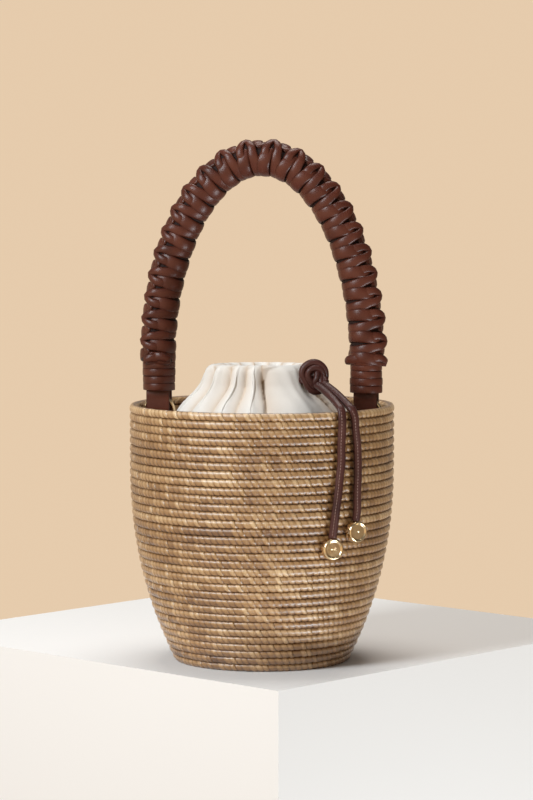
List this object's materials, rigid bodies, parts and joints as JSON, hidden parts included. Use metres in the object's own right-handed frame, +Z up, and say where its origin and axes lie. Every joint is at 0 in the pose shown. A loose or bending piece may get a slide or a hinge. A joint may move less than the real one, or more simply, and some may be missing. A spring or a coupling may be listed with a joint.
{
  "type": "bucket bag",
  "caption": "Coiled grass bucket bag with a cotton drawstring pouch, a braided leather handle on gold rings and bead-ended leather ties.",
  "frame": {"origin": "centre of the foot, on the surface that the basket stands on", "axes": "+Z up, X along the handle's arch, -Y towards the front, where the knot hangs"},
  "size_m": [0.2, 0.2, 0.393],
  "materials": {
    "coiled_grass": "coiled natural fibre with a silky stitch",
    "cotton": "plain woven cotton, matte",
    "cord_leather": "stitched cord, satin",
    "handle_leather": "smooth lace, satin",
    "gold_metal": "polished pale gold",
    "thread": "waxed thread",
    "rope_core": "twisted rope, hidden"
  },
  "bodies": {
    "root": {"basket_base": "coiled_grass", "basket_wall": "coiled_grass", "basket_rim": "coiled_grass", "pouch_floor": "cotton", "pouch_body": "cotton", "pouch_yoke": "cotton", "pouch_neck": "cotton", "pouch_gather": "cotton", "drawstring": "cord_leather", "knot": "cord_leather", "left_anchor": "handle_leather", "right_anchor": "handle_leather", "left_patch": "handle_leather", "right_patch": "handle_leather", "left_stitching": "thread", "right_stitching": "thread"},
    "left_ring": {"left_ring": "gold_metal"},
    "right_ring": {"right_ring": "gold_metal"},
    "handle": {"handle_core": "rope_core", "handle_braid": "handle_leather", "left_binding": "handle_leather", "right_binding": "handle_leather", "left_strap": "handle_leather", "right_strap": "handle_leather"},
    "left_tail": {"left_tail": "cord_leather", "left_bead": "gold_metal"},
    "right_tail": {"right_tail": "cord_leather", "right_bead": "gold_metal"}
  },
  "joints": [
    {"name": "left_ring_swing", "type": "hinge", "parent": "root", "child": "left_ring", "pos_m": [-0.0795, 0, 0.1763], "axis": [-1, 0, 0], "range_deg": [-26, 26]},
    {"name": "right_ring_swing", "type": "hinge", "parent": "root", "child": "right_ring", "pos_m": [0.0795, 0, 0.1763], "axis": [-1, 0, 0], "range_deg": [-26, 26]},
    {"name": "handle_swing", "type": "hinge", "parent": "left_ring", "child": "handle", "pos_m": [-0.0795, 0, 0.196], "axis": [-1, 0, 0], "range_deg": [-18, 32]},
    {"name": "left_tail_lift", "type": "hinge", "parent": "root", "child": "left_tail", "pos_m": [0.0455, -0.0395, 0.218], "axis": [-0.7314, -0.682, 0], "range_deg": [0, 30]},
    {"name": "right_tail_lift", "type": "hinge", "parent": "root", "child": "right_tail", "pos_m": [0.0455, -0.0395, 0.218], "axis": [-0.6157, -0.788, 0], "range_deg": [0, 30]}
  ],
  "couplings": [
    {"joint": "right_ring_swing", "follows": "left_ring_swing", "ratio": 1}
  ]
}
